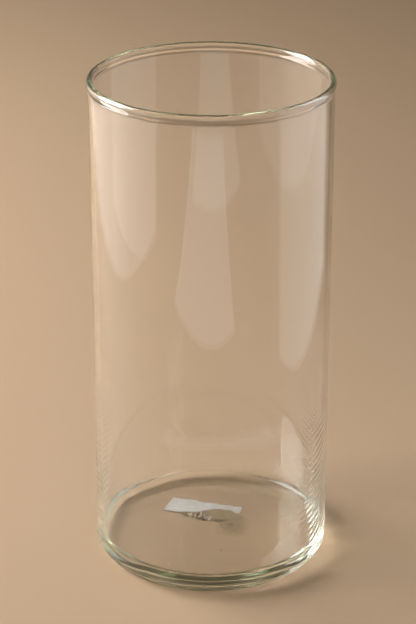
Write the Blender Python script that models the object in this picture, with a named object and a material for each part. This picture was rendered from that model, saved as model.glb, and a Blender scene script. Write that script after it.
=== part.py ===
"""Glass cylinder vase with the remains of a paper label under its base.

Run with: blender --background --python part.py
Units are metres and +Z is up. The origin is the centre of the ring that the vase stands on.
The vase is one turned piece of clear glass: a straight wall, a fire-polished rim bead, a heavy
base with a rounded heel, and a shallow recess under the base. A self-adhesive label is stuck to
the roof of that recess and is read from below, so its blank adhesive side faces up through the
glass.
"""

import math

import bmesh
import bpy
from mathutils import Matrix, Vector

# ---- driving dimensions, metres -------------------------------------------------------------
HEIGHT = 0.2525
SEGMENTS = 72

RIM_RADIUS = 0.0600            # outermost radius of the rim bead
BEAD_WIDTH = 0.0033
BEAD_HEIGHT = 0.0044
BEAD_BLEND = 0.0036            # height over which the bead fades into the wall

WALL_RADIUS_TOP = 0.0593       # outside of the wall, just below the bead
WALL_RADIUS_FOOT = 0.0598      # outside of the wall, just above the heel
WAIST_DEPTH = 0.0003           # the wall draws in a little above the heavy base
WAIST_HEIGHT = 0.045
WAIST_SPREAD = 0.020
BORE_RADIUS = 0.0570           # inside of the wall

HEEL_WIDTH = 0.0055            # rounded edge between the wall and the underside
HEEL_HEIGHT = 0.0065
BASE_THICKNESS = 0.0083        # inner floor above the surface the vase stands on
FLOOR_CORNER = 0.0046          # fillet between the inner floor and the wall

RING_INNER_RADIUS = 0.0500     # inner edge of the flat ring that the vase stands on
RECESS_DEPTH = 0.0006          # shallow recess under the base
RECESS_ROOF_RADIUS = 0.0395

LABEL_CENTRE = (-0.0027, 0.0195)
LABEL_TURN = math.radians(-18)
LABEL_GAP = 0.0003             # solids that touch on the real vase keep this distance
PAPER_THICKNESS = 0.00018
FILM_THICKNESS = 0.00012

# ---- colours --------------------------------------------------------------------------------
GLASS_COLOUR = (0.86, 0.92, 0.87)
PAPER_COLOUR = (0.62, 0.59, 0.52)
FILM_COLOUR = (0.30, 0.23, 0.14)


def clear_scene():
    for item in list(bpy.data.objects):
        bpy.data.objects.remove(item, do_unlink=True)


def make_material(name, colour, roughness, metallic=0.0, transmission=0.0, alpha=1.0):
    material = bpy.data.materials.new(name)
    material.use_nodes = True
    shader = material.node_tree.nodes["Principled BSDF"]
    shader.inputs["Base Color"].default_value = (*colour, 1.0)
    shader.inputs["Roughness"].default_value = roughness
    shader.inputs["Metallic"].default_value = metallic
    shader.inputs["Transmission Weight"].default_value = transmission
    shader.inputs["IOR"].default_value = 1.52 if transmission else 1.45
    shader.inputs["Alpha"].default_value = alpha
    return material


def make_object(name, bm, material):
    mesh = bpy.data.meshes.new(name)
    bm.to_mesh(mesh)
    bm.free()
    mesh.materials.append(material)
    item = bpy.data.objects.new(name, mesh)
    bpy.context.collection.objects.link(item)
    return item


def arc(centre_r, centre_z, radius_r, radius_z, first_degrees, last_degrees, steps):
    """Points (r, z) along an elliptical arc, both ends included."""
    points = []
    for i in range(steps + 1):
        angle = math.radians(first_degrees + (last_degrees - first_degrees) * i / steps)
        points.append((centre_r + radius_r * math.cos(angle), centre_z + radius_z * math.sin(angle)))
    return points


def blend(start, end, steps):
    """Points from start to end on a half cosine, leaving out both ends."""
    points = []
    for i in range(1, steps):
        t = i / steps
        ease = (1 - math.cos(math.pi * t)) / 2
        points.append((start[0] + (end[0] - start[0]) * ease, start[1] + (end[1] - start[1]) * t))
    return points


# ---- glass cylinder -------------------------------------------------------------------------
def wall_radius(z):
    """Outside radius of the wall at height z: a slight taper with a faint waist."""
    foot = HEEL_HEIGHT
    top = HEIGHT - BEAD_HEIGHT / 2 - BEAD_BLEND
    t = (z - foot) / (top - foot)
    taper = WALL_RADIUS_FOOT + (WALL_RADIUS_TOP - WALL_RADIUS_FOOT) * t
    return taper - WAIST_DEPTH * math.exp(-(((z - WAIST_HEIGHT) / WAIST_SPREAD) ** 2))


def glass_profile():
    """Section of the glass from the middle of the inner floor, over the rim, to the recess roof."""
    bead_r = RIM_RADIUS - BEAD_WIDTH / 2
    bead_z = HEIGHT - BEAD_HEIGHT / 2
    blend_z = bead_z - BEAD_BLEND

    floor = [(0.0, BASE_THICKNESS)]
    corner = arc(BORE_RADIUS - FLOOR_CORNER, BASE_THICKNESS + FLOOR_CORNER,
                 FLOOR_CORNER, FLOOR_CORNER, -90, 0, 6)
    bore_top = (BORE_RADIUS, blend_z)
    bead = arc(bead_r, bead_z, BEAD_WIDTH / 2, BEAD_HEIGHT / 2, 180, 0, 10)
    outer_top = (wall_radius(blend_z), blend_z)

    heights = [0.200, 0.150, 0.110, 0.085, 0.068, 0.056, 0.045, 0.034, 0.022, 0.012]
    wall = [(wall_radius(z), z) for z in heights]
    heel_r = wall_radius(HEEL_HEIGHT)
    heel = arc(heel_r - HEEL_WIDTH, HEEL_HEIGHT, HEEL_WIDTH, HEEL_HEIGHT, 0, -90, 7)

    ring_edge = (RING_INNER_RADIUS, 0.0)
    roof_edge = (RECESS_ROOF_RADIUS, RECESS_DEPTH)
    shoulder = []
    for i in range(1, 6):
        t = i / 6
        ease = (1 - math.cos(math.pi * t)) / 2
        shoulder.append((ring_edge[0] + (roof_edge[0] - ring_edge[0]) * t, RECESS_DEPTH * ease))

    return (floor + corner + [bore_top] + blend(bore_top, bead[0], 3) + bead
            + blend(bead[-1], outer_top, 3) + [outer_top] + wall + heel
            + [ring_edge] + shoulder + [roof_edge, (0.0, RECESS_DEPTH)])


def make_glass():
    bm = bmesh.new()
    corners = [bm.verts.new((r, 0.0, z)) for r, z in glass_profile()]
    edges = [bm.edges.new(pair) for pair in zip(corners, corners[1:])]
    bmesh.ops.spin(bm, geom=corners + edges, cent=(0, 0, 0), axis=(0, 0, 1),
                   angle=math.tau, steps=SEGMENTS, use_merge=True)
    bmesh.ops.remove_doubles(bm, verts=bm.verts, dist=1e-6)
    bmesh.ops.recalc_face_normals(bm, faces=bm.faces)
    glass = make_material("clear_glass", GLASS_COLOUR, 0.02, transmission=1.0)
    item = make_object("glass_cylinder", bm, glass)
    item.data.shade_smooth()
    item.data.set_sharp_from_angle(angle=math.radians(40))
    return item


# ---- label ----------------------------------------------------------------------------------
# Outlines are in the label's own plan, millimetres from the label's centre, x along its length.
TORN_EDGE = [(-17.8, -7.4), (-13.6, -6.6), (-5.9, -5.2), (-2.0, -3.8), (-0.6, -0.8), (2.8, 1.2),
             (8.3, 3.3), (12.4, 3.7), (14.9, 2.0), (17.0, 1.0), (18.9, 0.7)]


def make_sheet(name, outline_mm, top_z, thickness, material):
    """A flat sheet with the given plan outline, its upper face at top_z."""
    place = Matrix.Translation((*LABEL_CENTRE, top_z - thickness)) @ Matrix.Rotation(LABEL_TURN, 4, "Z")
    bm = bmesh.new()
    corners = [bm.verts.new(place @ Vector((x / 1000, y / 1000, 0.0))) for x, y in outline_mm]
    sheet = bm.faces.new(corners)
    raised = bmesh.ops.extrude_face_region(bm, geom=[sheet])["geom"]
    moved = [part for part in raised if isinstance(part, bmesh.types.BMVert)]
    bmesh.ops.translate(bm, verts=moved, vec=(0, 0, thickness))
    bmesh.ops.triangulate(bm, faces=bm.faces)
    bmesh.ops.recalc_face_normals(bm, faces=bm.faces)
    return make_object(name, bm, material)


def make_paper_label():
    """The part of the label that is still whole: its upper and left edges are the cut ones."""
    cut_edges = [(17.6, 8.3), (-21.2, 8.1), (-21.8, -8.2)]
    paper = make_material("label_paper", PAPER_COLOUR, 0.85)
    return make_sheet("paper_label", cut_edges + TORN_EDGE, RECESS_DEPTH - LABEL_GAP,
                      PAPER_THICKNESS, paper)


def make_adhesive_film():
    """Adhesive with torn fibres, left where the paper came away; its far corner is rounded."""
    gap_mm = LABEL_GAP * 1000
    beside_paper = [(x, y - gap_mm) for x, y in reversed(TORN_EDGE)]
    ragged_edge = [(-13.8, -9.0), (-9.4, -9.4), (-5.5, -10.4), (-1.8, -11.8), (2.6, -12.2), (6.2, -11.8),
                   (8.4, -13.4), (9.4, -16.8), (11.6, -21.0), (15.6, -24.4)]
    corner = arc(21.2, -17.0, 7.4, 7.6, -90, 0, 5)
    beside_end = [(28.3, -10.0), (26.0, -4.2)]
    film = make_material("label_adhesive", FILM_COLOUR, 0.45, alpha=0.45)
    return make_sheet("adhesive_film", beside_paper + ragged_edge + corner + beside_end,
                      RECESS_DEPTH - LABEL_GAP, FILM_THICKNESS, film)


clear_scene()
make_glass()
make_paper_label()
make_adhesive_film()
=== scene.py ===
"""Looks of a clear glass cylinder vase with the torn remains of a label under its base."""

import math
import random

import bpy
from mathutils import Matrix, Vector, geometry, noise


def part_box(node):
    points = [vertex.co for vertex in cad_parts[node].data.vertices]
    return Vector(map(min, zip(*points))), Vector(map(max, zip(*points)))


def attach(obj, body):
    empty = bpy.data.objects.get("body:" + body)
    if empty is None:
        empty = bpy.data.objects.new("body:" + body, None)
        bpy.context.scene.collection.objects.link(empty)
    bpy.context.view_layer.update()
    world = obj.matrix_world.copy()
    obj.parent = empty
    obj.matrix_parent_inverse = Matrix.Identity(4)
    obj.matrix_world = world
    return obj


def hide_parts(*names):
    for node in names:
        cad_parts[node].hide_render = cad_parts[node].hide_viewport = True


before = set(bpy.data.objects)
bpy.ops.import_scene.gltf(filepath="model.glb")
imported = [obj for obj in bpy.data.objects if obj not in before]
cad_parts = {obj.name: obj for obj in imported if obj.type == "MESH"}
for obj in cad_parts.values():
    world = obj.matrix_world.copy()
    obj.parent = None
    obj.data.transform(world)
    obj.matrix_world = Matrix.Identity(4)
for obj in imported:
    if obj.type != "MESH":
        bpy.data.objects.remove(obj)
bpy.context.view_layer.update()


# ---- glass cylinder -------------------------------------------------------------------------
# The vase is one gather of clear soda-lime glass, blown into a turned mould and spun in it, so
# it has no seam. The rim is cracked off and melted round in a flame, which leaves a soft bead,
# and the glass that chilled first, low in the wall, keeps fine slanting ripples.

_, glass_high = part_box("glass_cylinder")
RIM_RADIUS = glass_high.x
HEIGHT = glass_high.z
BEAD_WIDTH = 0.0033
BEAD_HEIGHT = 0.0044
BEAD_BLEND = 0.0036
BEAD_FULLNESS = 1.7            # 2 is an ellipse; less makes the bead's shoulders flatter
WALL_RADIUS_TOP = 0.0593
WALL_RADIUS_FOOT = 0.0598
WAIST_DEPTH = 0.0003
WAIST_HEIGHT = 0.045
WAIST_SPREAD = 0.020
BORE_RADIUS = 0.0570
HEEL_WIDTH = 0.0055
HEEL_HEIGHT = 0.0065
BASE_THICKNESS = 0.0083
FLOOR_CORNER = 0.0046
RING_INNER_RADIUS = 0.0500
RECESS_DEPTH = 0.0006
RECESS_ROOF_RADIUS = 0.0395
STRIPS_AROUND = 256
FLAT_STEPS = 8                 # rings across the inner floor, and across the recess roof
CORNER_STEPS = 14
WALL_STEPS = 24                # rings up the bore, and down the part of the wall that is smooth
BLEND_STEPS = 6
BEAD_STEPS = 22
RIPPLED_STEPS = 150
HEEL_STEPS = 48
RECESS_STEPS = 16
RECESS_ROUNDING = 0.25         # 0 makes the side of the recess a cone, 1 a full S curve
SUPPORT = 0.0004               # extra rings this far from each bend keep the flats optically flat

RIPPLE_TOP = 0.105             # height at which the ripples have died away
RIPPLE_GROWTH = 0.075          # way down from there to where they are at full strength
RIPPLE_HEIGHT = 0.00024
RIPPLE_PITCH = 0.0036          # distance from crest to crest, up the wall
RIPPLE_STARTS = 30             # crests side by side round the wall, which sets their slant
RIPPLE_WANDER = 2.2            # how many pitches the crests are pushed off their line
HEEL_RINGS = 6.0               # faint rings that the turned mould leaves round the heel
HEEL_RING_HEIGHT = 0.00003
FOOT_FADE = 0.0030             # ripples and rings die away over this height above the table
LUMP_DIRECTION = math.radians(-117)
LUMP_DROP = 0.0028             # how far the lump on the bead lies below the top of the rim
LUMP_HEIGHT = 0.00030
LUMP_SIZE = 0.0024
# Small gas seeds caught in the thick base: place and radius.
SEEDS = [(0.0052, -0.0268, 0.0046, 0.00042), (0.0061, -0.0262, 0.0050, 0.00026),
         (0.0043, -0.0275, 0.0043, 0.00022), (0.0128, -0.0370, 0.0046, 0.00018),
         (-0.0060, -0.0420, 0.0046, 0.00020), (0.0420, -0.0030, 0.0048, 0.00022),
         (0.0335, -0.0175, 0.0044, 0.00020), (-0.0300, -0.0120, 0.0050, 0.00015)]
SEED_FLATNESS = 0.6            # height of a seed over its width

REFRACTION = 1.52
GLASS_TINT = (0.62, 0.70, 0.50, 1.0)
TINT_DENSITY = 5.0
SCRATCH_COUNT = 900.0          # scratches to the metre, side by side
SCRATCH_LAYS = [(62, 30.0), (-18, 45.0), (84, 25.0)]   # lean in degrees, breaks to the metre
SCRATCH_SLANT = 0.35           # radians that they are all turned round the axis
SCRATCH_ROUGHNESS = 0.12


def ease(t):
    return (1 - math.cos(math.pi * t)) / 2


def line(start, end, steps, curve=None):
    """Points (r, z) between start and end, both left out; the radius may follow a curve."""
    points = []
    for i in range(1, steps):
        t = i / steps
        bent = curve(t) if curve else t
        points.append((start[0] + (end[0] - start[0]) * bent, start[1] + (end[1] - start[1]) * t))
    return points


def arc(centre_r, centre_z, radius_r, radius_z, first_degrees, last_degrees, steps):
    """Points (r, z) along an elliptical arc, both ends included."""
    points = []
    for i in range(steps + 1):
        angle = math.radians(first_degrees + (last_degrees - first_degrees) * i / steps)
        points.append((centre_r + radius_r * math.cos(angle), centre_z + radius_z * math.sin(angle)))
    return points


def wall_radius(z):
    """Outside of the wall at height z: a slight taper with a faint waist."""
    top = HEIGHT - BEAD_HEIGHT / 2 - BEAD_BLEND
    t = (z - HEEL_HEIGHT) / (top - HEEL_HEIGHT)
    taper = WALL_RADIUS_FOOT + (WALL_RADIUS_TOP - WALL_RADIUS_FOOT) * t
    return taper - WAIST_DEPTH * math.exp(-(((z - WAIST_HEIGHT) / WAIST_SPREAD) ** 2))


def glass_section():
    """Section from the middle of the inner floor, over the rim and down to the recess roof.

    Each point is (r, z, ripple), where ripple says how strongly the surface is rippled there.
    """
    bead_r = RIM_RADIUS - BEAD_WIDTH / 2
    bead_z = HEIGHT - BEAD_HEIGHT / 2
    blend_z = bead_z - BEAD_BLEND
    corner = arc(BORE_RADIUS - FLOOR_CORNER, BASE_THICKNESS + FLOOR_CORNER,
                 FLOOR_CORNER, FLOOR_CORNER, -90, 0, CORNER_STEPS)
    bead = []
    for r, z in arc(0.0, 0.0, 1.0, 1.0, 180, 0, BEAD_STEPS):
        softer = (abs(r) ** BEAD_FULLNESS + z ** BEAD_FULLNESS) ** (-1 / BEAD_FULLNESS)
        bead.append((bead_r + BEAD_WIDTH / 2 * r * softer, bead_z + BEAD_HEIGHT / 2 * z * softer))
    bore_top = (BORE_RADIUS, blend_z)
    wall_top = (wall_radius(blend_z), blend_z)
    floor_middle = (0.0, BASE_THICKNESS)
    smooth = [floor_middle] + line(floor_middle, corner[0], FLAT_STEPS)
    smooth += [(corner[0][0] - SUPPORT, BASE_THICKNESS)] + corner
    smooth += [(BORE_RADIUS, corner[-1][1] + SUPPORT)] + line(corner[-1], bore_top, WALL_STEPS)
    smooth += [(BORE_RADIUS, blend_z - SUPPORT), bore_top]
    smooth += line(bore_top, bead[0], BLEND_STEPS, ease)
    smooth += bead + line(bead[-1], wall_top, BLEND_STEPS, ease)
    smooth += [wall_top, (wall_radius(blend_z - SUPPORT), blend_z - SUPPORT)]
    for i in range(1, WALL_STEPS + 1):
        z = blend_z + (RIPPLE_TOP - blend_z) * i / WALL_STEPS
        smooth.append((wall_radius(z), z))

    rippled = []
    for i in range(1, RIPPLED_STEPS + 1):
        z = RIPPLE_TOP + (HEEL_HEIGHT - RIPPLE_TOP) * i / RIPPLED_STEPS
        rippled.append((wall_radius(z), z, ease(min(1.0, (RIPPLE_TOP - z) / RIPPLE_GROWTH))))
    heel = arc(wall_radius(HEEL_HEIGHT) - HEEL_WIDTH, HEEL_HEIGHT, HEEL_WIDTH, HEEL_HEIGHT,
               0, -90, HEEL_STEPS)
    for i, (r, z) in enumerate(heel[1:], 1):
        fade = min(1.0, z / FOOT_FADE)
        ring = HEEL_RING_HEIGHT * fade * math.sin(math.tau * HEEL_RINGS * i / HEEL_STEPS)
        lean = math.radians(-90 * i / HEEL_STEPS)
        rippled.append((r + ring * math.cos(lean), z + ring * math.sin(lean), fade))

    ring_edge = (RING_INNER_RADIUS, 0.0)
    roof_edge = (RECESS_ROOF_RADIUS, RECESS_DEPTH)
    roof_middle = (0.0, RECESS_DEPTH)
    under = [(heel[-1][0] - SUPPORT, 0.0), (ring_edge[0] + SUPPORT, 0.0), ring_edge]
    for i in range(1, RECESS_STEPS):
        t = i / RECESS_STEPS
        rounded = RECESS_ROUNDING * ease(t) + (1 - RECESS_ROUNDING) * t
        under.append((ring_edge[0] + (roof_edge[0] - ring_edge[0]) * t, RECESS_DEPTH * rounded))
    under += [roof_edge, (roof_edge[0] - SUPPORT, RECESS_DEPTH)]
    under += line(roof_edge, roof_middle, FLAT_STEPS) + [roof_middle]
    return [(r, z, 0.0) for r, z in smooth] + rippled + [(r, z, 0.0) for r, z in under]


def put_node(tree, kind, inputs=None, **settings):
    """Add a node, set its choices, and fill its inputs with values or with other nodes' outputs."""
    made = tree.nodes.new(kind)
    for name, value in settings.items():
        setattr(made, name, value)
    for name, value in (inputs or {}).items():
        if isinstance(value, bpy.types.NodeSocket):
            tree.links.new(value, made.inputs[name])
        else:
            made.inputs[name].default_value = value
    return made


def sum_node(tree, operation, *values):
    """A Math node's result, for values that are numbers or other nodes' outputs."""
    made = put_node(tree, "ShaderNodeMath", dict(enumerate(values)), operation=operation)
    return made.outputs[0]


def new_geometry_tree(name, inputs):
    """A Geometry Nodes tree with one geometry in and out, and the named inputs given."""
    tree = bpy.data.node_groups.new(name, "GeometryNodeTree")
    tree.interface.new_socket("Geometry", in_out="INPUT", socket_type="NodeSocketGeometry")
    for label, kind in inputs:
        tree.interface.new_socket(label, in_out="INPUT", socket_type="NodeSocket" + kind)
    tree.interface.new_socket("Geometry", in_out="OUTPUT", socket_type="NodeSocketGeometry")
    return tree, tree.nodes.new("NodeGroupInput").outputs


def turning_tree():
    """Turns a section into a closed body, ripples its wall and leaves seeds in its base.

    The glass chilled unevenly, so the ripples are strong on its right side, keep to a narrower
    strip on its left, and are all but gone at the front and back.
    """
    tree, given = new_geometry_tree("vase_turning", [
        ("Strips Around", "Int"), ("Ripple Height", "Float"), ("Ripple Pitch", "Float"),
        ("Ripple Starts", "Int"), ("Lump Place", "Vector"), ("Lump Height", "Float"),
        ("Lump Size", "Float"), ("Seeds", "Object"), ("Glass", "Material")])

    # A flat grid has a row for each point of the section and a column for each strip.
    rows = put_node(tree, "GeometryNodeAttributeDomainSize", {0: given["Geometry"]})
    columns = sum_node(tree, "ADD", given["Strips Around"], 1)
    grid = put_node(tree, "GeometryNodeMeshGrid", {"Vertices X": rows.outputs["Point Count"],
                                                   "Vertices Y": columns})
    index = tree.nodes.new("GeometryNodeInputIndex").outputs[0]
    row = sum_node(tree, "FLOOR", sum_node(tree, "DIVIDE", sum_node(tree, "ADD", index, 0.5), columns))
    column = sum_node(tree, "SUBTRACT", index, sum_node(tree, "MULTIPLY", row, columns))
    place = tree.nodes.new("GeometryNodeInputPosition").outputs[0]
    section_place = put_node(tree, "GeometryNodeSampleIndex",
                             {"Geometry": given["Geometry"], "Value": place, "Index": row},
                             data_type="FLOAT_VECTOR")
    ripple_name = put_node(tree, "GeometryNodeInputNamedAttribute", {"Name": "ripple"})
    section_ripple = put_node(tree, "GeometryNodeSampleIndex",
                              {"Geometry": given["Geometry"], "Value": ripple_name.outputs[0],
                               "Index": row})
    split = put_node(tree, "ShaderNodeSeparateXYZ", {0: section_place.outputs[0]})
    turn = sum_node(tree, "DIVIDE", sum_node(tree, "MULTIPLY", column, math.tau),
                    given["Strips Around"])
    turned = put_node(tree, "ShaderNodeCombineXYZ",
                      {"X": sum_node(tree, "MULTIPLY", split.outputs["X"], sum_node(tree, "COSINE", turn)),
                       "Y": sum_node(tree, "MULTIPLY", split.outputs["X"], sum_node(tree, "SINE", turn)),
                       "Z": split.outputs["Z"]})
    marked = put_node(tree, "GeometryNodeStoreNamedAttribute",
                      {"Geometry": grid.outputs["Mesh"], "Name": "ripple",
                       "Value": section_ripple.outputs[0]}, data_type="FLOAT", domain="POINT")
    revolved = put_node(tree, "GeometryNodeSetPosition",
                        {"Geometry": marked.outputs[0], "Position": turned.outputs[0]})
    closed = put_node(tree, "GeometryNodeMergeByDistance",
                      {"Geometry": revolved.outputs[0], "Distance": 0.000002})

    # The ripples are waves that climb round the wall and wander off their line.
    around = put_node(tree, "ShaderNodeSeparateXYZ", {0: place})
    angle = sum_node(tree, "ARCTAN2", around.outputs["Y"], around.outputs["X"])
    drift = put_node(tree, "ShaderNodeTexNoise", {"Vector": place, "Scale": 32.0, "Detail": 2.0})
    swell = put_node(tree, "ShaderNodeTexNoise", {"Vector": place, "Scale": 75.0, "Detail": 1.0})
    climb = sum_node(tree, "DIVIDE", around.outputs["Z"], given["Ripple Pitch"])
    twist = sum_node(tree, "DIVIDE", sum_node(tree, "MULTIPLY", angle, given["Ripple Starts"]), math.tau)
    phase = sum_node(tree, "SUBTRACT", climb, twist)
    phase = sum_node(tree, "MULTIPLY_ADD", drift.outputs["Fac"], RIPPLE_WANDER, phase)
    wave = sum_node(tree, "SINE", sum_node(tree, "MULTIPLY", phase, math.tau))
    strength = put_node(tree, "ShaderNodeMapRange",
                        {"Value": swell.outputs["Fac"], "From Min": 0.30, "From Max": 0.70,
                         "To Min": 0.25, "To Max": 1.25})
    ripple_here = put_node(tree, "GeometryNodeInputNamedAttribute", {"Name": "ripple"})
    sideways = sum_node(tree, "COSINE", angle)
    right = put_node(tree, "ShaderNodeMapRange", {"Value": sideways, "From Min": 0.72, "From Max": 0.985,
                                                  "To Min": 0.03, "To Max": 1.0},
                     interpolation_type="SMOOTHSTEP")
    left = put_node(tree, "ShaderNodeMapRange", {"Value": sideways, "From Min": -0.93,
                                                 "From Max": -1.0, "To Max": 0.9},
                    interpolation_type="SMOOTHSTEP")
    side = sum_node(tree, "ADD", right.outputs[0], left.outputs[0])
    wave = sum_node(tree, "MULTIPLY", sum_node(tree, "MULTIPLY", wave, strength.outputs[0]), side)
    ripple = sum_node(tree, "MULTIPLY", wave,
                      sum_node(tree, "MULTIPLY", ripple_here.outputs[0], given["Ripple Height"]))
    # The lump is a soft bump where the flame left the rim a little thicker.
    gone = put_node(tree, "ShaderNodeVectorMath", {0: place, 1: given["Lump Place"]},
                    operation="DISTANCE")
    nearness = sum_node(tree, "DIVIDE", gone.outputs["Value"], given["Lump Size"])
    lump = sum_node(tree, "EXPONENT", sum_node(tree, "MULTIPLY",
                                               sum_node(tree, "MULTIPLY", nearness, nearness), -1.0))
    raised = sum_node(tree, "MULTIPLY_ADD", lump, given["Lump Height"], ripple)
    outwards = put_node(tree, "ShaderNodeVectorMath",
                        {0: tree.nodes.new("GeometryNodeInputNormal").outputs[0], "Scale": raised},
                        operation="SCALE")
    shaped = put_node(tree, "GeometryNodeSetPosition",
                      {"Geometry": closed.outputs[0], "Offset": outwards.outputs[0]})

    # Seeds are hollow, so their faces point into the gas.
    seeds = put_node(tree, "GeometryNodeObjectInfo", {"Object": given["Seeds"]})
    size = put_node(tree, "GeometryNodeInputNamedAttribute", {"Name": "size"})
    ball = put_node(tree, "GeometryNodeMeshIcoSphere", {"Radius": 1.0, "Subdivisions": 3})
    hollow = put_node(tree, "GeometryNodeFlipFaces", {0: ball.outputs["Mesh"]})
    stretch = put_node(tree, "ShaderNodeCombineXYZ",
                       {"X": size.outputs[0], "Y": size.outputs[0],
                        "Z": sum_node(tree, "MULTIPLY", size.outputs[0], SEED_FLATNESS)})
    bubbles = put_node(tree, "GeometryNodeInstanceOnPoints",
                       {"Points": seeds.outputs["Geometry"], "Instance": hollow.outputs[0],
                        "Scale": stretch.outputs[0]})
    both = put_node(tree, "GeometryNodeJoinGeometry", {0: bubbles.outputs[0]})
    tree.links.new(shaped.outputs[0], both.inputs[0])
    real = put_node(tree, "GeometryNodeRealizeInstances", {0: both.outputs[0]})
    smooth = put_node(tree, "GeometryNodeSetShadeSmooth", {"Geometry": real.outputs[0]})
    finished = put_node(tree, "GeometryNodeSetMaterial",
                        {"Geometry": smooth.outputs[0], "Material": given["Glass"]})
    tree.links.new(finished.outputs[0], tree.nodes.new("NodeGroupOutput").inputs[0])
    return tree


def point_object(name, places, attribute, values, chained=False):
    """Loose points, or one chain of them, that carry a number each for a node tree to read."""
    mesh = bpy.data.meshes.new(name)
    links = [(i, i + 1) for i in range(len(places) - 1)] if chained else []
    mesh.from_pydata(places, links, [])
    numbers = mesh.attributes.new(attribute, "FLOAT", "POINT")
    for entry, value in zip(numbers.data, values):
        entry.value = value
    item = bpy.data.objects.new(name, mesh)
    bpy.context.collection.objects.link(item)
    return item


def made_by_nodes(name, source, tree, inputs):
    """Run a node tree over an object and keep the result as a plain mesh."""
    modifier = source.modifiers.new(tree.name, "NODES")
    modifier.node_group = tree
    sockets = {item.name: item.identifier for item in tree.interface.items_tree
               if item.in_out == "INPUT"}
    for label, value in inputs.items():
        modifier[sockets[label]] = value
    bpy.context.view_layer.update()
    done = source.evaluated_get(bpy.context.evaluated_depsgraph_get())
    mesh = bpy.data.meshes.new_from_object(done)
    mesh.name = name
    item = bpy.data.objects.new(name, mesh)
    bpy.context.collection.objects.link(item)
    bpy.data.objects.remove(source, do_unlink=True)
    return item


def new_material(name):
    """A material, its node tree and the shader in it."""
    material = bpy.data.materials.new(name)
    material.use_nodes = True
    return material, material.node_tree, material.node_tree.nodes["Principled BSDF"]


def glass_look():
    """Clear glass, faintly green in its thickness, with fine wear scratches on its faces."""
    material, tree, shader = new_material("clear_glass_look")
    shader.inputs["Base Color"].default_value = (1, 1, 1, 1)
    shader.inputs["IOR"].default_value = REFRACTION
    shader.inputs["Transmission Weight"].default_value = 1.0
    where = tree.nodes.new("ShaderNodeTexCoord").outputs["Object"]

    scratches = None
    for degrees, breaks in SCRATCH_LAYS:
        turned = put_node(tree, "ShaderNodeMapping",
                          {"Vector": where, "Rotation": (0.0, math.radians(degrees), SCRATCH_SLANT),
                           "Scale": (SCRATCH_COUNT, SCRATCH_COUNT, breaks)})
        strokes = put_node(tree, "ShaderNodeTexNoise",
                           {"Vector": turned.outputs[0], "Scale": 1.0, "Detail": 1.0})
        thin = put_node(tree, "ShaderNodeMapRange",
                        {"Value": strokes.outputs["Fac"], "From Min": 0.70, "From Max": 0.78})
        scratches = thin.outputs[0] if scratches is None else sum_node(
            tree, "MAXIMUM", scratches, thin.outputs[0])
    wear = put_node(tree, "ShaderNodeTexNoise", {"Vector": where, "Scale": 38.0, "Detail": 2.0})
    worn = put_node(tree, "ShaderNodeMapRange",
                    {"Value": wear.outputs["Fac"], "From Min": 0.48, "From Max": 0.68})
    rough = sum_node(tree, "MULTIPLY", scratches, worn.outputs[0])
    tree.links.new(sum_node(tree, "MULTIPLY", rough, SCRATCH_ROUGHNESS), shader.inputs["Roughness"])

    depth = put_node(tree, "ShaderNodeVolumeAbsorption", {"Color": GLASS_TINT,
                                                          "Density": TINT_DENSITY})
    tree.links.new(depth.outputs[0], tree.nodes["Material Output"].inputs["Volume"])
    return material


section = glass_section()
section_line = point_object("vase_section", [(r, 0.0, z) for r, z, _ in section], "ripple",
                            [ripple for _, _, ripple in section], chained=True)
seed_points = point_object("vase_seeds", [seed[:3] for seed in SEEDS], "size",
                           [seed[3] for seed in SEEDS])
glass = made_by_nodes("blown_glass", section_line, turning_tree(), {
    "Strips Around": STRIPS_AROUND, "Ripple Height": RIPPLE_HEIGHT, "Ripple Pitch": RIPPLE_PITCH,
    "Ripple Starts": RIPPLE_STARTS,
    "Lump Place": (RIM_RADIUS * math.cos(LUMP_DIRECTION), RIM_RADIUS * math.sin(LUMP_DIRECTION),
                   HEIGHT - LUMP_DROP),
    "Lump Height": LUMP_HEIGHT, "Lump Size": LUMP_SIZE, "Seeds": seed_points, "Glass": glass_look()})
bpy.data.objects.remove(seed_points, do_unlink=True)
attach(glass, "root")
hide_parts("glass_cylinder")


# ---- paper label ----------------------------------------------------------------------------
# A price label of white uncoated paper, stuck under the base and read from below, so its blank
# back shows through the glass. Two of its edges are still the cut ones and the rest is torn.

LABEL_CENTRE = (-0.0027, 0.0195)
LABEL_TURN = math.radians(-18)
LABEL_GAP = 0.0003             # air between the glass and what is stuck to it
LABEL_TOP = RECESS_DEPTH - LABEL_GAP
PAPER_THICKNESS = 0.00014
OUTLINE_STEP = 0.35            # millimetres between points along an outline
SHEET_STEP = 0.7               # millimetres between points inside it
PAPER_RAGGEDNESS = 0.35        # millimetres that a torn side wanders
PAPER_WAVE = 0.00002
CLEAN_PAPER = (0.97, 0.97, 1.0, 1.0)
FIBRE_SHADE = (0.74, 0.70, 0.64, 1.0)
SOAKED_PAPER = (0.66, 0.61, 0.52, 1.0)
# Outlines are in the label's own plan, millimetres from its centre, x along its length.
TORN_EDGE = [(-17.8, -7.4), (-13.6, -6.6), (-5.9, -5.2), (-2.0, -3.8), (-0.6, -0.8), (2.8, 1.2),
             (8.3, 3.3), (12.4, 3.7), (14.9, 2.0), (17.0, 1.0), (18.9, 0.7)]
CUT_EDGES = [(17.6, 8.3), (-21.2, 8.1), (-21.8, -8.2)]


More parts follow.
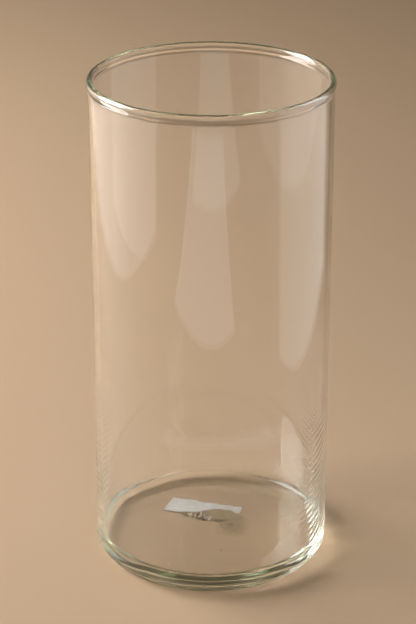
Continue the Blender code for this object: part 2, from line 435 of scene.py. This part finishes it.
def ragged(corners, torn, raggedness):
    """The outline walked in short steps; a torn side wanders by about the raggedness, in mm."""
    walked = []
    for i, start in enumerate(corners):
        end = corners[(i + 1) % len(corners)]
        side = Vector(end) - Vector(start)
        across = Vector((-side.y, side.x)).normalized()
        steps = max(1, round(side.length / OUTLINE_STEP))
        for k in range(steps):
            point = Vector(start) + side * (k / steps)
            if torn[i] and k:
                push = noise.noise(Vector((point.x * 0.9, point.y * 0.9, 3.7)))
                push += 0.6 * noise.noise(Vector((point.x * 2.9, point.y * 2.9, 8.1)))
                point += across * push * raggedness
            walked.append(point)
    return walked


def sheet(name, outline, thickness, crumple):
    """A closed thin sheet over the outline; crumple(x, y) says how far it dips, in metres."""
    low = [min(p[axis] for p in outline) for axis in (0, 1)]
    high = [max(p[axis] for p in outline) for axis in (0, 1)]
    scatter = random.Random(5)
    inside = []
    for i in range(int((high[0] - low[0]) / SHEET_STEP) + 1):
        for k in range(int((high[1] - low[1]) / SHEET_STEP) + 1):
            inside.append(Vector((low[0] + (i + scatter.uniform(0.2, 0.8)) * SHEET_STEP,
                                  low[1] + (k + scatter.uniform(0.2, 0.8)) * SHEET_STEP)))
    rim = [(i, (i + 1) % len(outline)) for i in range(len(outline))]
    places, _, faces, _, _, _ = geometry.delaunay_2d_cdt(
        outline + inside, rim, [list(range(len(outline)))], 1, 0.0001)
    used = sorted({corner for face in faces for corner in face})
    number = {old: new for new, old in enumerate(used)}
    count = len(used)
    lay = Matrix.Translation((*LABEL_CENTRE, 0.0)) @ Matrix.Rotation(LABEL_TURN, 4, "Z")
    top, bottom = [], []
    for old in used:
        x, y = places[old]
        flat = lay @ Vector((x / 1000, y / 1000, 0.0))
        z = LABEL_TOP - crumple(x, y)
        top.append((flat.x, flat.y, z))
        bottom.append((flat.x, flat.y, z - thickness))
    upper = [tuple(number[corner] for corner in face) for face in faces]
    sides = dict.fromkeys(side for face in upper for side in zip(face, face[1:] + face[:1]))
    walls = [(b, a, a + count, b + count) for a, b in sides if (b, a) not in sides]
    lower = [tuple(corner + count for corner in reversed(face)) for face in upper]
    mesh = bpy.data.meshes.new(name)
    mesh.from_pydata(top + bottom, [], upper + lower + walls)
    mesh.validate()
    item = bpy.data.objects.new(name, mesh)
    bpy.context.collection.objects.link(item)
    return item


def label_plan(tree):
    """Object coordinates turned into the label's own plan, in millimetres from its centre."""
    where = tree.nodes.new("ShaderNodeTexCoord").outputs["Object"]
    plan = put_node(tree, "ShaderNodeMapping",
                    {"Vector": where, "Location": (*LABEL_CENTRE, 0.0),
                     "Rotation": (0.0, 0.0, LABEL_TURN), "Scale": (0.001, 0.001, 0.001)},
                    vector_type="TEXTURE")
    return plan.outputs[0]


def blended(tree, share, first, second):
    """The first colour, giving way to the second by the share given."""
    mix = put_node(tree, "ShaderNodeMix", {"Factor": share, 6: first, 7: second}, data_type="RGBA")
    return mix.outputs[2]


def paper_look():
    """White paper, mottled by the adhesive that soaked in, with its pressed fibres in relief."""
    material, tree, shader = new_material("label_paper_look")
    plan = label_plan(tree)
    long_fibres = put_node(tree, "ShaderNodeMapping", {"Vector": plan, "Scale": (0.22, 1.5, 1.0),
                                                       "Rotation": (0.0, 0.0, math.radians(8))})
    streaks = put_node(tree, "ShaderNodeTexNoise", {"Vector": long_fibres.outputs[0], "Scale": 1.1,
                                                    "Detail": 5.0, "Roughness": 0.62})
    soaked = put_node(tree, "ShaderNodeTexNoise", {"Vector": plan, "Scale": 0.10, "Detail": 3.0})
    ramp = put_node(tree, "ShaderNodeValToRGB", {0: streaks.outputs["Fac"]})
    shaded, clean = ramp.color_ramp.elements
    shaded.position = 0.34
    shaded.color = FIBRE_SHADE
    clean.position = 0.60
    clean.color = CLEAN_PAPER
    blotches = put_node(tree, "ShaderNodeMapRange", {"Value": soaked.outputs["Fac"], "From Min": 0.40,
                                                     "From Max": 0.66})
    stain = sum_node(tree, "MULTIPLY", blotches.outputs[0], 0.45)
    tree.links.new(blended(tree, stain, ramp.outputs[0], SOAKED_PAPER), shader.inputs["Base Color"])
    shader.inputs["Roughness"].default_value = 0.85
    fibre = put_node(tree, "ShaderNodeTexNoise", {"Vector": long_fibres.outputs[0], "Scale": 6.0,
                                                  "Detail": 4.0})
    relief = put_node(tree, "ShaderNodeBump", {"Height": fibre.outputs["Fac"], "Strength": 0.35,
                                               "Distance": 0.0001})
    tree.links.new(relief.outputs[0], shader.inputs["Normal"])
    return material


def paper_dip(x, y):
    """The paper lies nearly flat, in small waves."""
    return PAPER_WAVE * (1 + noise.noise(Vector((x * 0.20, y * 0.35, 1.3))))


paper_torn = [False, False] + [True] * (len(TORN_EDGE) + 1)
paper_outline = ragged(CUT_EDGES + TORN_EDGE, paper_torn, PAPER_RAGGEDNESS)
paper = sheet("paper_label_sheet", paper_outline, PAPER_THICKNESS, paper_dip)
paper.data.materials.append(paper_look())
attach(paper, "root")
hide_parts("paper_label")


# ---- adhesive film --------------------------------------------------------------------------
# Where the paper came away it split: a thin brownish skin of adhesive and fibres is left, full of
# trapped bubbles and creases, and it thins out to a faint see-through patch with a rounded end.

FILM_THICKNESS = 0.00008
FILM_RAGGEDNESS = 0.45
FOLD_DEPTH = 0.00010
BESIDE_PAPER = [(x, y - LABEL_GAP * 1000) for x, y in reversed(TORN_EDGE)]
RAGGED_EDGE = [(-13.8, -9.0), (-9.4, -9.4), (-5.5, -10.4), (-1.8, -11.8), (2.6, -12.2), (6.2, -11.8),
               (8.4, -13.4), (9.4, -16.8), (11.6, -21.0), (15.6, -24.4)]
ROUNDED_END = arc(21.2, -17.0, 7.4, 7.6, -90, 0, 5)
BESIDE_END = [(28.3, -10.0), (26.0, -4.2)]
THIN_ADHESIVE = (0.82, 0.66, 0.44, 1.0)
# Brown of the creases: thicker adhesive in the folds, and partly painted shade.
CREASE_BROWN_AND_SHADE = (0.40, 0.28, 0.15, 1.0)
# Dark brown of the hairs, the bubble gaps and the blot, and of the painted shadow along the lower edge.
DARK_BROWN_AND_SHADOW = (0.09, 0.045, 0.012, 1.0)
# White of the trapped bubbles, and of the painted sparkle and glints.
BUBBLE_AND_GLINT_WHITE = (1.0, 0.98, 0.93, 1.0)


def film_look():
    """See-through brown adhesive: hairs, pale bubbles with painted sparkle and glints, painted shade in
    the creases, a painted shadow along the lower edge, and a faint end.
    """
    material, tree, shader = new_material("label_adhesive_look")
    plan = label_plan(tree)

    def noise_on(scale, size, detail, degrees=0.0):
        laid = put_node(tree, "ShaderNodeMapping", {"Vector": plan, "Scale": scale,
                                                    "Rotation": (0.0, 0.0, math.radians(degrees))})
        return put_node(tree, "ShaderNodeTexNoise", {"Vector": laid.outputs[0], "Scale": size,
                                                     "Detail": detail}).outputs["Fac"]

    def between(value, low_end, high_end, from_value=0.0, to_value=1.0):
        return put_node(tree, "ShaderNodeMapRange",
                        {"Value": value, "From Min": low_end, "From Max": high_end,
                         "To Min": from_value, "To Max": to_value}).outputs[0]

    def patch(centre, stretch, solid, faded):
        """1 inside an oval about the centre, fading to 0; solid and faded are radii in mm."""
        gone = put_node(tree, "ShaderNodeVectorMath", {0: plan, 1: centre}, operation="SUBTRACT")
        scaled = put_node(tree, "ShaderNodeVectorMath", {0: gone.outputs[0], 1: stretch},
                          operation="MULTIPLY")
        far = put_node(tree, "ShaderNodeVectorMath", {0: scaled.outputs[0]}, operation="LENGTH")
        return between(sum_node(tree, "ADD", far.outputs["Value"], wander), solid, faded, 1.0, 0.0)

    axes = put_node(tree, "ShaderNodeSeparateXYZ", {0: plan})
    wander = sum_node(tree, "MULTIPLY", sum_node(tree, "SUBTRACT", noise_on((1, 1, 1), 0.30, 4.0), 0.5),
                      4.0)
    # How far a point lies above the lower edge of the skin, which climbs towards both ends.
    along = axes.outputs["X"]
    climb = sum_node(tree, "MULTIPLY_ADD", sum_node(tree, "MAXIMUM", along, 12.0), -0.45, 16.2)
    climb = sum_node(tree, "MULTIPLY_ADD", sum_node(tree, "MINIMUM", along, 12.0), -0.11, climb)
    climb = sum_node(tree, "MULTIPLY_ADD", sum_node(tree, "MINIMUM", along, -1.0), 0.30, climb)
    above = sum_node(tree, "ADD", sum_node(tree, "ADD", axes.outputs["Y"], climb), 0.3)
    above = sum_node(tree, "ADD", above, sum_node(tree, "MULTIPLY", wander, 0.35))

    creases = noise_on((0.26, 1.0, 1.0), 0.95, 5.0, -14)
    # Darker brown in the creases: the folds hold more adhesive, and the darkening there is also painted
    # shade.
    crease_dark = between(creases, 0.56, 0.42)
    skin = sum_node(tree, "MULTIPLY", between(above, -0.6, 0.6),
                    patch((5.0, -4.0, 0.0), (0.72, 1.0, 1.0), 11.0, 13.0))
    # Painted shadow: a dark band along the lower edge of the skin stands in for the shadow that the label
    # casts on the table.
    lower_edge_shadow = sum_node(tree, "MULTIPLY",
                          between(sum_node(tree, "ABSOLUTE", above), 0.25, 1.2, 1.0, 0.0),
                          patch((2.0, -9.0, 0.0), (0.55, 0.8, 1.0), 9.0, 13.0))
    blot = patch((9.6, -9.6, 0.0), (0.7, 1.0, 1.0), 0.8, 3.0)
    hairs = sum_node(tree, "MULTIPLY", between(noise_on((1.5, 0.32, 1.0), 0.9, 3.0, 12), 0.50, 0.60),
                     patch((16.5, -13.6, 0.0), (0.8, 1.1, 1.0), 2.5, 5.5))
    # The faint end: see-through brown that fades out to a soft, rounded edge.
    faint_end = patch((20.0, -14.0, 0.0), (1.0, 0.72, 1.0), 3.0, 10.0)

    foam_plan = put_node(tree, "ShaderNodeMapping", {"Vector": plan, "Scale": (0.95, 0.55, 1.0)})
    cells = put_node(tree, "ShaderNodeTexVoronoi", {"Vector": foam_plan.outputs[0], "Scale": 1.0},
                     feature="F1")
    foam = patch((0.0, -8.6, 0.0), (0.70, 1.3, 1.0), 4.6, 6.2)
    # Bubbles: pale where air is trapped, and the white also serves as painted sparkle, light caught by the
    # bubbles.
    pale = sum_node(tree, "MULTIPLY", between(cells.outputs["Distance"], 0.20, 0.44, 1.0, 0.0), foam)
    gaps = sum_node(tree, "MULTIPLY", between(cells.outputs["Distance"], 0.54, 0.70), foam)
    # Painted highlights: white glints scattered over the skin.
    glints = sum_node(tree, "MULTIPLY", between(noise_on((0.9, 2.2, 1.0), 0.9, 2.0, -10), 0.58, 0.70),
                      sum_node(tree, "MULTIPLY", skin, 0.55))

    # Dark brown for the hairs, the bubble gaps, the blot, and the painted shadow along the lower edge.
    dark = sum_node(tree, "MAXIMUM", hairs, lower_edge_shadow)
    dark = sum_node(tree, "MAXIMUM", dark, gaps)
    dark = sum_node(tree, "MAXIMUM", dark, blot)
    brown = blended(tree, crease_dark, THIN_ADHESIVE, CREASE_BROWN_AND_SHADE)
    darkened = blended(tree, dark, brown, DARK_BROWN_AND_SHADOW)
    # Bubble white laid over, with its painted sparkle and glints.
    lit = blended(tree, sum_node(tree, "MAXIMUM", pale, glints), darkened, BUBBLE_AND_GLINT_WHITE)
    tree.links.new(lit, shader.inputs["Base Color"])

    cover = sum_node(tree, "MULTIPLY", skin, between(creases, 0.60, 0.40, 0.20, 0.55))
    for mask, strength in ((faint_end, 0.30), (lower_edge_shadow, 0.80), (hairs, 0.70), (gaps, 0.60), (blot, 0.85),
                           (pale, 0.95), (glints, 0.85)):
        cover = sum_node(tree, "MAXIMUM", cover, sum_node(tree, "MULTIPLY", mask, strength))
    tree.links.new(cover, shader.inputs["Alpha"])
    shader.inputs["Roughness"].default_value = 0.55
    relief = put_node(tree, "ShaderNodeBump", {"Height": creases, "Strength": 0.5, "Distance": 0.0004})
    tree.links.new(relief.outputs[0], shader.inputs["Normal"])
    return material


def film_dip(x, y):
    """The film is creased: it buckles in sharp folds."""
    return FOLD_DEPTH * abs(noise.noise(Vector((x * 0.50, y * 1.1, 5.2))))


film_corners = BESIDE_PAPER + RAGGED_EDGE + ROUNDED_END + BESIDE_END
film_torn = [True] * (len(BESIDE_PAPER) + len(RAGGED_EDGE) - 1)
film_torn += [False] * (len(film_corners) - len(film_torn))
film_outline = ragged(film_corners, film_torn, FILM_RAGGEDNESS)
film = sheet("adhesive_film_skin", film_outline, FILM_THICKNESS, film_dip)
film.data.materials.append(film_look())
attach(film, "root")
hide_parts("adhesive_film")


# ---- table, light and camera ----------------------------------------------------------------
# The vase stands on a plain warm table in a dim room, between pale cards that show as bands in its
# wall. A window on the left gives the main light. Clear glass shows everything round it, so some
# lights are split in two: one that lights the table, and one that only the glass shows.

TABLE_HALF = 14.0
TABLE_DROP = 0.0002            # keeps the table clear of the ring that the vase stands on
TABLE_COLOUR = (0.47, 0.337, 0.22, 1.0)
ROOM_BEHIND = (0.085, 0.065, 0.042, 1.0)
ROOM_IN_FRONT = (0.12, 0.10, 0.07, 1.0)
CARD_HEIGHT = 0.35
RIGHT_CARD_MIDDLE = 0.183      # height of the middle of the card above the table
RIGHT_CARD_LEAN = math.radians(6)
LEFT_CARD_MIDDLE = 0.175
DAYLIGHT = (1.0, 0.98, 0.95)
CARD_WHITE = (0.97, 1.0, 1.05)
LENS = 116.29
CAMERA_PLACE = (-0.0016, -0.9251, 0.5426)
CAMERA_TILT = 0.4204           # radians below level
LIGHT_BOUNCES = 160


def table_look():
    material, _, shader = new_material("table_look")
    shader.inputs["Base Color"].default_value = TABLE_COLOUR
    shader.inputs["Roughness"].default_value = 0.7
    shader.inputs["Specular IOR Level"].default_value = 0.2
    return material


table_mesh = bpy.data.meshes.new("table_top")
table_mesh.from_pydata([(-TABLE_HALF, -TABLE_HALF, 0), (TABLE_HALF, -TABLE_HALF, 0),
                        (TABLE_HALF, TABLE_HALF, 0), (-TABLE_HALF, TABLE_HALF, 0)],
                       [], [(0, 1, 2, 3)])
table_mesh.materials.append(table_look())
table = bpy.data.objects.new("table_top", table_mesh)
table.location.z = -TABLE_DROP
bpy.context.collection.objects.link(table)


def room_light():
    """A dim warm room, a little lighter low down in front of the vase."""
    room = bpy.data.worlds.new("room")
    room.use_nodes = True
    tree = room.node_tree
    facing = put_node(tree, "ShaderNodeSeparateXYZ",
                      {0: tree.nodes.new("ShaderNodeTexCoord").outputs["Generated"]})
    nearer = put_node(tree, "ShaderNodeMapRange",
                      {"Value": facing.outputs["Y"], "From Min": 0.10, "From Max": -0.35},
                      interpolation_type="SMOOTHSTEP")
    lower = put_node(tree, "ShaderNodeMapRange",
                     {"Value": facing.outputs["Z"], "From Min": 0.85, "From Max": 0.50},
                     interpolation_type="SMOOTHSTEP")
    share = sum_node(tree, "MULTIPLY", nearer.outputs[0], lower.outputs[0])
    tree.links.new(blended(tree, share, ROOM_BEHIND, ROOM_IN_FRONT),
                   tree.nodes["Background"].inputs["Color"])
    return room


def soft_light(name, place, target, width, height, radiance, colour,
               lights=True, mirrored=True, seen_through=True):
    """A flat sheet of light at place, facing the target, of the radiance given.

    lights says whether it lights plain surfaces, mirrored whether it shows in reflections, and
    seen_through whether it shows through the glass.
    """
    lamp = bpy.data.lights.new(name, "AREA")
    lamp.shape = "RECTANGLE"
    lamp.size = width
    lamp.size_y = height
    lamp.energy = math.pi * width * height * radiance
    lamp.color = colour
    item = bpy.data.objects.new(name, lamp)
    item.location = place
    item.rotation_euler = (Vector(target) - Vector(place)).to_track_quat("-Z", "Y").to_euler()
    item.visible_camera = False
    item.visible_diffuse = lights
    item.visible_glossy = mirrored
    item.visible_transmission = seen_through
    bpy.context.collection.objects.link(item)
    return item


bpy.context.scene.world = room_light()

# The window: its light on the table, and the pane that the glass shows.
soft_light("window", (-1.15, 0.25, 0.70), (0, 0, 0.10), 1.30, 0.60, 15.0, DAYLIGHT,
           mirrored=False, seen_through=False)
soft_light("window_pane", (-1.16, 0.27, 0.74), (0, 0, 0.10), 0.85, 0.95, 16.0, (1.0, 1.0, 0.98),
           lights=False)

# A narrow beam from above lights the far end of the table, which shows through the glass under
# the rim. The ceiling is only a sheen on the glass.
far_lamp = soft_light("far_lamp", (0.0, 8.0, 3.0), (0.0, 8.0, 0.0), 9.0, 11.0, 1.3, (1.0, 0.97, 0.93),
                      mirrored=False, seen_through=False)
far_lamp.data.spread = math.radians(60)
soft_light("ceiling", (0.0, 1.4, 2.2), (0, 0, 0.2), 2.4, 1.6, 1.6, DAYLIGHT,
           lights=False, seen_through=False)

# The card on the right leans a little. Its sheen adds to what the glass mirrors and lights nothing.
for name, radiance, whole in (("right_card", 0.55, True), ("right_card_sheen", 0.75, False)):
    card = soft_light(name, (0.285, 0.02, RIGHT_CARD_MIDDLE), (0, 0.02, RIGHT_CARD_MIDDLE), 0.36,
                      CARD_HEIGHT, radiance, (0.95, 1.0, 1.05), lights=whole, seen_through=whole)
    card.rotation_euler.rotate_axis("Z", RIGHT_CARD_LEAN)

# The long card on the left has a brighter stripe. A white sheet lies on the table in front, where
# the wall and the heel mirror it.
for name, x, y, width, radiance in (("left_card", -0.43, 0.28, 1.25, 0.37),
                                    ("left_card_stripe", -0.425, 0.015, 0.15, 0.14)):
    soft_light(name, (x, y, LEFT_CARD_MIDDLE), (0, y, LEFT_CARD_MIDDLE), width, CARD_HEIGHT,
               radiance, CARD_WHITE, lights=False)
soft_light("front_sheet", (-0.045, -0.55, 0.001), (-0.045, -0.55, 1.0), 0.36, 0.40, 0.62,
           (0.98, 1.0, 1.05))

camera_data = bpy.data.cameras.new("camera")
camera_data.lens = LENS
camera = bpy.data.objects.new("camera", camera_data)
camera.location = CAMERA_PLACE
camera.rotation_euler = (math.pi / 2 - CAMERA_TILT, 0, 0)
bpy.context.collection.objects.link(camera)
bpy.context.scene.camera = camera
bpy.context.scene.view_settings.view_transform = "Standard"
# Light has to find its way through the base and along the thickness of the wall.
bpy.context.scene.cycles.blur_glossy = 0.0
bpy.context.scene.cycles.max_bounces = LIGHT_BOUNCES
bpy.context.scene.cycles.transmission_bounces = LIGHT_BOUNCES
bpy.context.scene.cycles.glossy_bounces = LIGHT_BOUNCES
